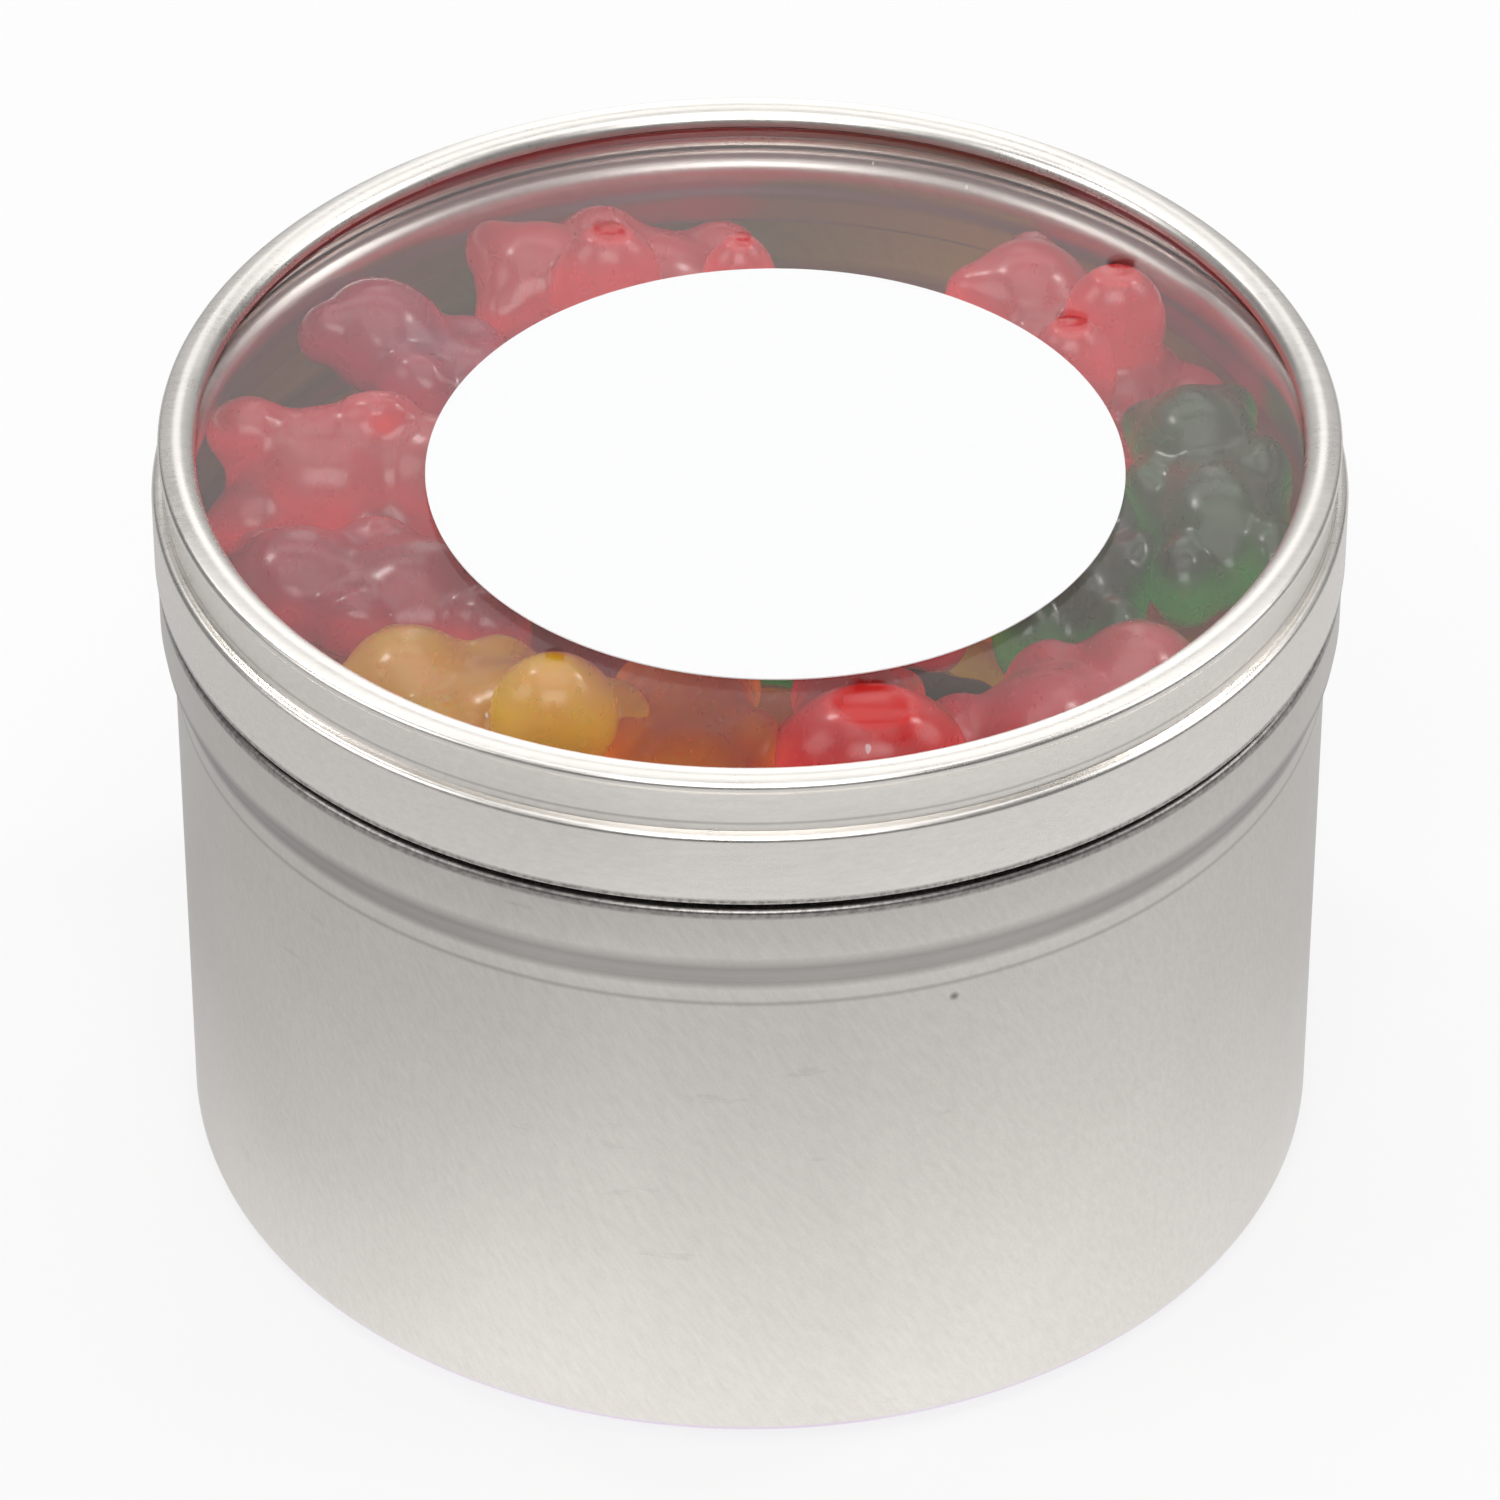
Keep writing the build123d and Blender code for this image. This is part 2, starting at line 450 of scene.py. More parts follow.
        # Scuffs are real wear; the marks add painted shade and painted dark reflection, and a real nick.
        worn_and_shaded = self.marks(recipe) + recipe.patches(self.scuffs) * self.scuff_strength
        colour = recipe.blend(worn_and_shaded, colour, self.dark)
        if self.inside_radius:
            colour = recipe.blend(self.inside(recipe), colour, self.lacquer)
        smooth, rough = self.roughness - self.smoother, self.roughness + self.rougher
        inputs = {
            "Base Color": colour,
            "Metallic": 1.0,
            "Roughness": recipe.spread(sheen, 0.0, 1.0, smooth, rough),
            "Normal": recipe.bump(shaded, self.grain, self.grain_depth),
        }
        return recipe.coat(inputs)


@dataclass(frozen=True)
class ClearPlastic:
    """Clear window plastic with a soft gloss, a faint haze and a few short scratches.

    The colour is the haze's, the tint what light takes on as it passes, and the sheen the gloss's colour.
    The front gloss is the share mirrored when looked at square. Each touch is a place that a sweet
    touches: its distance to the right and to the back and its radius, in millimetres. It is wet within
    touch_inner of that radius and dry past touch_outer, and the wobble makes its outline uneven.
    """

    name: str
    haze: float = 0.012
    fleck_strength: float = 0.5
    roughness: float = 0.05
    wave_strength: float = 0.15
    wave_depth: float = 0.10
    front_gloss: float = 0.04
    gloss_power: float = 5.0
    touch_inner: float = 0.85
    touch_outer: float = 1.05
    wobble_low: float = 0.8
    wobble_high: float = 1.25
    colour: Colour = (0.78, 0.74, 0.74)
    tint: Colour = (0.97, 0.965, 0.96)
    sheen: Colour = (1.0, 0.87, 0.89)
    clouds: Grain = Grain(0.05)
    waves: Grain = Grain(0.08, 1.0)
    flecks: Grain = Grain(0.9, 1.0, low=0.80, high=0.82, stretch=(1.0, 0.35, 1.0))
    wobble: Grain = Grain(0.5, 1.0, low=0.3, high=0.7, stretch=FLAT)
    touches: tuple[Corner, ...] = (
        (-10.5, 26.4, 1.2),
        (-0.5, 25.2, 0.7),
        (27.3, 21.8, 1.2),
        (23.4, 14.6, 1.2),
        (-13.5, -25.9, 0.8),
        (8.2, -31.2, 2.6),
        (9.8, -33.6, 2.2),
    )

    def untouched(self, recipe: Recipe) -> Reading:
        """Find where no sweet lies wet against the window, which takes its gloss away.

        Args:
            recipe: The material's recipe.

        Returns:
            One where no sweet touches, falling to nothing where one does.
        """
        wobble = recipe.patches(self.wobble, self.wobble_low, self.wobble_high)
        dry = 1.0
        for right, back, reach in self.touches:
            away = recipe.away((right, back, 0.0), FLAT) * wobble
            dry = dry * recipe.spread(away, reach * self.touch_inner, reach * self.touch_outer)
        return dry

    def material(self) -> bpy.types.Material:
        """Make the material.

        Returns:
            The material.
        """
        recipe = Recipe(self.name)
        dry = self.untouched(recipe)
        scattered = recipe.patches(self.clouds, 0.8, 1.2) * self.haze
        scattered = (scattered + recipe.patches(self.flecks) * self.fleck_strength) * dry
        clear = recipe.node("ShaderNodeBsdfTransparent", {}, {"Color": self.tint})
        veil = recipe.node("ShaderNodeBsdfPrincipled", {}, {"Base Color": self.colour, "Roughness": 0.5})
        relief = recipe.bump(recipe.noise(self.waves), self.wave_strength, self.wave_depth)
        inputs = {"Color": self.sheen, "Roughness": self.roughness, "Normal": relief}
        gloss = recipe.node("ShaderNodeBsdfGlossy", {}, inputs)
        slant = recipe.node("ShaderNodeLayerWeight", {}, {"Blend": 0.5}, "Facing")
        mirrored = (slant ** self.gloss_power * (1.0 - self.front_gloss) + self.front_gloss) * dry
        return recipe.finish(recipe.mix(mirrored, recipe.mix(scattered, clear, veil), gloss))


@dataclass(frozen=True)
class LabelPaper:
    """Smooth white label paper, with the depth of its relief in millimetres."""

    name: str
    roughness: float = 0.55
    relief: float = 0.15
    depth: float = 0.01
    colour: Colour = (0.93, 0.93, 0.93)
    shade: Colour = (0.91, 0.91, 0.91)
    fibre: Grain = Grain(4.0, 3.0, 0.6)
    clouds: Grain = Grain(0.4)

    def material(self) -> bpy.types.Material:
        """Make the material.

        Returns:
            The material.
        """
        recipe = Recipe(self.name)
        fibre = recipe.noise(self.fibre)
        mottled = fibre * 0.5 + recipe.noise(self.clouds) * 0.5
        inputs = {
            "Base Color": recipe.blend(mottled, self.shade, self.colour),
            "Roughness": self.roughness,
            "Normal": recipe.bump(fibre, self.relief, self.depth),
        }
        return recipe.coat(inputs)


@dataclass(frozen=True)
class Jelly:
    """Translucent sweet jelly under a thin waxy bloom, which is gone where it presses on the window.

    The deep_and_shaded colour is the jelly's darker tone and painted shade on skin that faces up; the
    colour is shown where the skin turns sideways, as painted light through thin edges, in lighter patches,
    and where the sweet presses on the window. The pale colour is that of the bloom, and the painted_glow
    is emission on the sideways skin: painted light that stands for light through thin edges. The bloom
    says how much the wax covers, and clear how much light passes as through rough glass. Heights and
    depths are in millimetres. Light scatters to the depth in red, green and blue by the shares in
    scatter. The mirror is how strongly the jelly itself mirrors, and the gloss is the wet coat over it.
    """

    name: str
    colour: Colour
    # Painted shade: the deep_and_shaded colour stays on skin that faces up, and in darker patches of tone.
    deep_and_shaded: Colour
    pale: Colour
    # Painted light: the colour of the emission on the sideways skin, standing for light through thin edges.
    painted_glow: Colour
    bloom: float = 0.14
    clear: float = 0.35
    pressed_height: float = 58.0
    pressed_fade: float = 0.15
    smoothest: float = 0.22
    roughest: float = 0.38
    depth: float = 4.0
    scatter: Corner = (1.0, 0.40, 0.35)
    fold_strength: float = 0.35
    fold_depth: float = 0.5
    pore_strength: float = 0.15
    pore_depth: float = 0.06
    mirror: float = 0.3
    gloss: float = 0.8
    gloss_roughness: float = 0.20
    refraction: float = 1.42
    clouds: Grain = Grain(0.16)
    wax: Grain = Grain(0.35, 4.0, 0.6, high=0.7, stretch=(1.0, 0.5, 1.0))
    folds: Grain = Grain(0.16, 1.0, stretch=(0.5, 1.0, 1.0))
    pores: Grain = Grain(0.8)

    def material(self) -> bpy.types.Material:
        """Make the material.

        Returns:
            The material.
        """
        recipe = Recipe(self.name)
        dusty = recipe.below(recipe.along("Z"), self.pressed_height, self.pressed_fade)
        soft = recipe.patches(self.clouds)
        waxy = recipe.patches(self.wax)
        thin = recipe.node("ShaderNodeAttribute", {"attribute_name": PAINTED_LIGHT_MARK}, output="Fac")
        # Painted light and shade: the sideways skin, as painted light through thin edges, lifts the colour
        # above the deep_and_shaded one, which stays on skin facing up as painted shade; soft patches of
        # tone and the tops pressed on the window lift it too.
        bright = soft * 0.4 + thin * 0.6 + (1.0 - dusty) * 0.5
        colour = recipe.blend(bright, self.deep_and_shaded, self.colour)
        colour = recipe.blend(waxy * dusty * self.bloom, colour, self.pale)
        # Painted light: emission on the sideways skin stands for light through thin edges.
        painted_glow = recipe.blend(thin * recipe.spread(soft, 0.0, 1.0, 0.5, 0.9), BLACK, self.painted_glow)
        folds = recipe.bump(recipe.noise(self.folds), self.fold_strength, self.fold_depth)
        inputs = {
            "Base Color": colour,
            "Roughness": recipe.spread(waxy, 0.0, 1.0, self.smoothest, self.roughest),
            "Normal": recipe.bump(recipe.noise(self.pores), self.pore_strength, self.pore_depth, folds),
            "Subsurface Weight": 1.0,
            "Subsurface Radius": self.scatter,
            "Subsurface Scale": self.depth * MM,
            "Transmission Weight": self.clear,
            "Specular IOR Level": self.mirror,
            "Coat Weight": self.gloss,
            "Coat Roughness": self.gloss_roughness,
            "IOR": self.refraction,
            "Emission Color": painted_glow,
            "Emission Strength": 1.0,
        }
        return recipe.coat(inputs, {"subsurface_method": "RANDOM_WALK"})


class Bench:
    """The modelling bench: picking, joining, cutting, smoothing and dressing."""

    @staticmethod
    def clear() -> None:
        """Deselect everything."""
        bpy.ops.object.select_all(action="DESELECT")

    @staticmethod
    def pick(piece: bpy.types.Object) -> None:
        """Select one object alone and make it active.

        Args:
            piece: The object.
        """
        Bench.clear()
        piece.select_set(True)
        bpy.context.view_layer.objects.active = piece

    @staticmethod
    def edit(piece: bpy.types.Object, mode: str = "EDGE") -> None:
        """Enter edit mode on one object with nothing selected.

        Args:
            piece: The object.
            mode: What is picked: VERT, EDGE or FACE.
        """
        Bench.pick(piece)
        bpy.ops.object.mode_set(mode="EDIT")
        bpy.ops.mesh.select_mode(type=mode)
        bpy.ops.mesh.select_all(action="DESELECT")

    @staticmethod
    def leave() -> None:
        """Leave edit mode."""
        bpy.ops.object.mode_set(mode="OBJECT")

    @staticmethod
    @contextmanager
    def whole(piece: bpy.types.Object, mode: str = "FACE") -> Iterator[None]:
        """Work in edit mode with all of an object selected.

        Args:
            piece: The object.
            mode: What is picked: VERT, EDGE or FACE.
        """
        Bench.edit(piece, mode)
        bpy.ops.mesh.select_all(action="SELECT")
        yield
        Bench.leave()

    @staticmethod
    def choose(piece: bpy.types.Object, test: Callable[[Vector], bool]) -> None:
        """Enter edit mode with the edges picked whose points both pass a test.

        Args:
            piece: The object.
            test: The test of a point's place.
        """
        Bench.edit(piece)
        Bench.leave()
        mesh = piece.data
        passed = [test(point.co) for point in mesh.vertices]
        for edge in mesh.edges:
            edge.select = all(passed[i] for i in edge.vertices)
        bpy.ops.object.mode_set(mode="EDIT")

    @staticmethod
    def modify(piece: bpy.types.Object, kind: str, **settings: Any) -> None:
        """Add a modifier and apply it.

        Args:
            piece: The object.
            kind: The modifier's type.
            **settings: Its settings.
        """
        Bench.pick(piece)
        bpy.ops.object.modifier_add(type=kind)
        modifier = piece.modifiers[-1]
        for key, value in settings.items():
            setattr(modifier, key, value)
        bpy.ops.object.modifier_apply(modifier=modifier.name)

    @staticmethod
    def settle(piece: bpy.types.Object) -> None:
        """Put the object's place, turn and scale into its mesh."""
        Bench.pick(piece)
        bpy.ops.object.transform_apply(location=True, rotation=True, scale=True)

    @staticmethod
    def outward(piece: bpy.types.Object) -> None:
        """Turn every face outwards."""
        with Bench.whole(piece):
            bpy.ops.mesh.normals_make_consistent(inside=False)

    @staticmethod
    def smooth(piece: bpy.types.Object, angle: float = 35.0) -> None:
        """Shade smooth, with sharp edges past an angle in degrees."""
        Bench.pick(piece)
        bpy.ops.object.shade_smooth_by_angle(angle=math.radians(angle))

    @staticmethod
    def thicken(piece: bpy.types.Object, sheet: float) -> None:
        """Give a sheet's middle face its thickness in millimetres, and shade it smooth."""
        Bench.modify(piece, "SOLIDIFY", thickness=sheet * MM, offset=0.0, use_even_offset=True)
        Bench.smooth(piece)

    @staticmethod
    def dress(piece: bpy.types.Object, material: bpy.types.Material) -> None:
        """Give an object one material."""
        piece.data.materials.clear()
        piece.data.materials.append(material)

    @staticmethod
    def copy(name: str, mesh: bpy.types.Mesh) -> bpy.types.Object:
        """Add an object with a copy of a mesh.

        Args:
            name: The object's name.
            mesh: The mesh.

        Returns:
            The object.
        """
        made = bpy.data.objects.new(name, mesh.copy())
        bpy.context.scene.collection.objects.link(made)
        return made

    @staticmethod
    def ball(place: Corner, size: Corner) -> bpy.types.Object:
        """Add a rounded lobe, not yet settled.

        Args:
            place: Its middle in millimetres.
            size: Its half sizes in millimetres.

        Returns:
            The lobe.
        """
        Bench.clear()
        bpy.ops.mesh.primitive_uv_sphere_add(
            segments=32,
            ring_count=20,
            radius=MM,
            location=tuple(value * MM for value in place),
            scale=size,
        )
        return bpy.context.active_object

    @staticmethod
    def join(pieces: list[bpy.types.Object]) -> bpy.types.Object:
        """Join pieces into the first of them.

        Args:
            pieces: The pieces.

        Returns:
            The joined piece.
        """
        Bench.clear()
        for piece in pieces:
            piece.select_set(True)
        bpy.context.view_layer.objects.active = pieces[0]
        if len(pieces) > 1:
            bpy.ops.object.join()
        return bpy.context.active_object

    @staticmethod
    def cut(height: float, up: float, near: float) -> None:
        """Cut all that is picked off flat and close it.

        Args:
            height: Height of the cut in millimetres.
            up: 1 to take off what is above it, -1 for what is below.
            near: How near to the cut a point counts as on it, in millimetres.
        """
        bpy.ops.mesh.bisect(
            plane_co=(0.0, 0.0, height * MM),
            plane_no=(0.0, 0.0, up),
            use_fill=True,
            clear_outer=True,
            threshold=near * MM,
        )


@dataclass
class Lathe:
    """Turns a line of corners round an upright axis, as on a spinning lathe.

    Args:
        name: The piece's name.
        corners: Radius, height and bend radius at each corner, in millimetres.
        steps: Points round the circle.
        right: The axis's place to the right.
        back: The axis's place to the back.
        near: How near to a ring a point counts as on it.
        hub: Radius of a cap's inner ring, as a share of the ring before it.
        facet: Turn of one facet of a bend, in degrees.
    """

    name: str
    corners: list[Corner]
    steps: int = 256
    right: float = 0.0
    back: float = 0.0
    near: float = 0.004
    hub: float = 0.5
    facet: float = 12.0

    def draw(self, closed: bool = False) -> bpy.types.Object:
        """Draw the rings up from a circle and round their corners.

        Args:
            closed: Whether the last ring joins the first.

        Returns:
            The turned sheet or solid.
        """
        Bench.clear()
        radius, height, _ = self.corners[0]
        bpy.ops.mesh.primitive_circle_add(
            vertices=self.steps,
            radius=radius * MM,
            fill_type="NOTHING",
            location=(self.right * MM, self.back * MM, height * MM),
        )
        piece = bpy.context.active_object
        piece.name = self.name
        piece.data.name = self.name
        Bench.settle(piece)
        with Bench.whole(piece, "EDGE"):
            for corner in self.corners[1:]:
                self.grow(corner[0] / radius)
                bpy.ops.transform.translate(value=(0.0, 0.0, (corner[1] - height) * MM))
                radius, height = corner[:2]
        if closed:
            self.choose_rings(piece, [self.corners[0][:2], self.corners[-1][:2]])
            bpy.ops.mesh.bridge_edge_loops()
            Bench.leave()
        Bench.outward(piece)
        self.bend(piece)
        return piece

    def grow(self, share: float) -> None:
        """Extrude the picked ring and scale it about the axis.

        Args:
            share: Its new radius as a share of the old.
        """
        bpy.ops.mesh.extrude_edges_move()
        centre = (self.right * MM, self.back * MM, 0.0)
        bpy.ops.transform.resize(value=(share, share, 1.0), center_override=centre)

    def cap(self, piece: bpy.types.Object, ring: tuple[float, float], share: float = 0.9) -> None:
        """Close a ring over with two inner rings and a pole.

        Args:
            piece: The turned sheet.
            ring: Radius and height of the open ring.
            share: Radius of the first inner ring as a share.
        """
        self.choose_rings(piece, [ring])
        self.grow(share)
        self.grow(self.hub)
        bpy.ops.mesh.extrude_edges_move()
        bpy.ops.mesh.merge(type="CENTER")
        Bench.leave()

    def choose_rings(self, piece: bpy.types.Object, rings: list[tuple[float, float]]) -> None:
        """Pick the rings of given radius and height.

        Args:
            piece: The turned sheet.
            rings: Radius and height of each ring.
        """
        near = self.near * MM

        def on_ring(point: Vector) -> bool:
            """Whether a point lies on one of the rings."""
            radius = math.hypot(point.x - self.right * MM, point.y - self.back * MM)
            return any(abs(radius - r * MM) < near and abs(point.z - z * MM) < near for r, z in rings)

        Bench.choose(piece, on_ring)

    def bend(self, piece: bpy.types.Object) -> None:
        """Round each corner that has a bend radius.

        Args:
            piece: The turned sheet.
        """
        places = [corner[:2] for corner in self.corners]
        for i, (radius, height, bend) in enumerate(self.corners):
            if bend <= 0.0:
                continue
            into = Vector(places[i]) - Vector(places[i - 1])
            out = Vector(places[(i + 1) % len(places)]) - Vector(places[i])
            turn = into.angle(out)
            self.choose_rings(piece, [(radius, height)])
            bpy.ops.mesh.bevel(
                offset=bend * math.tan(turn / 2) * MM,
                offset_type="OFFSET",
                segments=max(2, round(math.degrees(turn) / self.facet)),
                profile=0.5,
                affect="EDGES",
                clamp_overlap=False,
            )
            Bench.leave()


@dataclass
class TinBody:
    """The can: recessed base, straight wall, swelled stop, neck and curled rim.

    Sizes are in millimetres, along the middle of the sheet.
    """

    sheet: float = 0.3
    panel_height: float = 0.75
    panel_radius: float = 36.0
    panel_ring: float = 3.0
    panel_bend: float = 0.5
    stand_radius: float = 36.6
    stand_bend: float = 1.85
    wall_radius: float = 41.65
    swell_start: float = 40.6
    flare_foot: float = 0.07
    flare_bend: float = 1.5
    flare_low: float = 42.7
    flare_high: float = 44.2
    swell_foot_bend: float = 4.0
    swell_top: float = 49.35
    swell_bend: float = 0.3
    swell_radius: float = 42.55
    neck_radius: float = 41.25
    neck_bend: float = 0.4
    rim_height: float = 55.45
    curl_radius: float = 41.95
    curl_bend: float = 0.16
    curl_tail: float = 0.5
    roll_height: float = 3.6
    roll_turn: float = 0.6
    roll_inset: float = 0.85
    roll_foot_bend: float = 2.0
    roll_bend: float = 1.36
    body: str = "tin"

    def corners(self) -> list[Corner]:
        """List the corners of the sheet's middle line from the base panel to the curl.

        Returns:
            Radius, height and bend radius at each corner.
        """
        half = self.sheet / 2
        rim = self.rim_height
        inset = self.neck_radius - self.roll_inset
        return [
            (self.panel_radius - self.panel_ring, self.panel_height, 0.0),
            (self.panel_radius, self.panel_height, self.panel_bend),
            (self.stand_radius, half, self.panel_bend),
            (self.wall_radius, half, self.stand_bend),
            (self.wall_radius, self.swell_start, 0.0),
            (self.wall_radius + self.flare_foot, self.flare_low, self.flare_bend),
            (self.swell_radius, self.flare_high, self.swell_foot_bend),
            (self.swell_radius, self.swell_top, self.swell_bend),
            (self.neck_radius, self.swell_top, self.neck_bend),
            (self.neck_radius, rim - self.roll_height, self.roll_foot_bend),
            (inset, rim - self.roll_height * self.roll_turn, self.roll_foot_bend),
            (inset, rim, self.roll_bend),
            (self.curl_radius, rim, self.curl_bend),
            (self.curl_radius, rim - self.curl_bend - self.curl_tail, 0.0),
        ]

    def build(self, metal: bpy.types.Material) -> bpy.types.Object:
        """Spin the can and dress it.

        Args:
            metal: Its finish.

        Returns:
            The can.
        """
        lathe = Lathe("can", self.corners())
        piece = lathe.draw()
        lathe.cap(piece, self.corners()[0][:2])
        Bench.outward(piece)
        Bench.thicken(piece, self.sheet)
        Bench.dress(piece, metal)
        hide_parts("tin_body")
        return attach(piece, self.body)


@dataclass
class WindowLid:
    """The slip-on lid: ring, window, retaining ring and bare label.

    Sizes are in millimetres; the ring's are along the middle of its sheet.
    """

    sheet: float = 0.3
    opening_radius: float = 39.75
    lip_height: float = 59.0
    crown_start: float = 39.9
    crown_bend: float = 0.75
    crown_peak: float = 41.0
    crown_peak_bend: float = 1.5
    crown_rise: float = 0.32
    crown_fall: float = 0.2
    crown_radius: float = 42.15
    crown_edge_bend: float = 0.3
    crown_height: float = 60.05
    bead_low: float = 59.45
    bead_bend: float = 0.2
    skirt_radius: float = 41.85
    skirt_top: float = 59.15
    root_start: float = 56.65
    root_radius: float = 41.97
    root_bend: float = 0.18
    step_height: float = 55.85
    step_bend: float = 0.4
    lower_radius: float = 42.735
    edge_height: float = 50.25
    hem_radius: float = 42.35
    hem_height: float = 1.0
    hem_bend: float = 0.16
    window_radius: float = 41.6
    window_low: float = 58.35
    window_high: float = 58.85
    window_ease: float = 0.08
    disc_rim: float = 1.0
    retainer_inner: float = 40.5
    retainer_outer: float = 41.7
    retainer_low: float = 57.25
    retainer_chamfer: float = 0.3
    retainer_ease: float = 0.06
    label_radius: float = 24.9
    label_right: float = 1.8
    label_back: float = -4.0
    label_thickness: float = 0.12
    label_ease: float = 0.02
    body: str = "lid"

    def corners(self) -> list[Corner]:
        """List the corners of the ring's middle line from the opening to the hem.

        Returns:
            Radius, height and bend radius at each corner.
        """
        return [
            (self.opening_radius, self.lip_height, 0.0),
            (self.crown_start, self.crown_height - self.crown_rise, self.crown_bend),
            (self.crown_peak, self.crown_height, self.crown_peak_bend),
            (self.crown_radius, self.crown_height - self.crown_fall, self.crown_edge_bend),
            (self.crown_radius, self.bead_low, self.bead_bend),
            (self.skirt_radius, self.skirt_top, self.bead_bend),
            (self.skirt_radius, self.root_start, self.bead_bend),
            (self.root_radius, self.step_height, self.root_bend),
            (self.lower_radius, self.step_height, self.step_bend),
            (self.lower_radius, self.edge_height, self.hem_bend),
            (self.hem_radius, self.edge_height, self.hem_bend),
            (self.hem_radius, self.edge_height + self.hem_height, 0.0),
        ]

    def build_ring(self, metal: bpy.types.Material) -> bpy.types.Object:
        """Spin the lid's ring and dress it.

        Args:
            metal: Its finish.

        Returns:
            The ring.
        """
        piece = Lathe("lid_shell", self.corners()).draw()
        Bench.thicken(piece, self.sheet)
        Bench.dress(piece, metal)
        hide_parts("lid_ring")
        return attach(piece, self.body)

    def disc(
        self, lower: Corner, upper: Corner, name: str, right: float = 0.0, back: float = 0.0
    ) -> bpy.types.Object:
        """Turn a flat disc from its rim's two corners.

        Args:
            lower: The rim's lower corner: its radius, height and bend.
            upper: Its upper corner.
            name: The piece's name.
            right: Its centre to the right.
            back: Its centre to the back.

        Returns:
            The closed disc.
        """
        inner = lower[0] - self.disc_rim
        rim = [(inner, lower[1], 0.0), lower, upper, (inner, upper[1], 0.0)]
        lathe = Lathe(name, rim, right=right, back=back)
        piece = lathe.draw()
        lathe.cap(piece, rim[0][:2])
        lathe.cap(piece, rim[-1][:2])
        Bench.outward(piece)
        Bench.smooth(piece, angle=30.0)
        return piece

    def build_window(self, plastic: bpy.types.Material) -> bpy.types.Object:
        """Turn the window's disc, with its edge eased, and dress it.

        Args:
            plastic: Its finish.

        Returns:
            The window.
        """
        lower = (self.window_radius, self.window_low, self.window_ease)
        upper = (self.window_radius, self.window_high, self.window_ease)
        piece = self.disc(lower, upper, "clear_window")
        Bench.dress(piece, plastic)
        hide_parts("lid_window")
        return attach(piece, self.body)

    def build_retainer(self, metal: bpy.types.Material) -> bpy.types.Object:
        """Turn the ring that holds the window up, and dress it.

        Args:
            metal: Its finish.

        Returns:
            The retaining ring.
        """
        ease, low, inner = self.retainer_ease, self.retainer_low, self.retainer_inner
        corners = [
            (inner, self.window_low, ease),
            (self.retainer_outer, self.window_low, ease),
            (self.retainer_outer, low, ease),
            (inner + self.retainer_chamfer, low, ease),
            (inner, low + self.retainer_chamfer, ease),
        ]
        piece = Lathe("press_ring", corners).draw(closed=True)
        Bench.smooth(piece, angle=40.0)
        Bench.dress(piece, metal)
        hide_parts("window_retaining_ring")
        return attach(piece, self.body)

    def build_label(self, paper: bpy.types.Material) -> bpy.types.Object:
        """Cut the round label and dress it.

        Args:
            paper: Its finish.

        Returns:
            The label.
        """
        lower = (self.label_radius, self.window_high, self.label_ease)
        upper = (self.label_radius, self.window_high + self.label_thickness, self.label_ease)
        piece = self.disc(lower, upper, "bare_label", self.label_right, self.label_back)
        Bench.dress(piece, paper)
        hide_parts("window_label")
        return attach(piece, self.body)


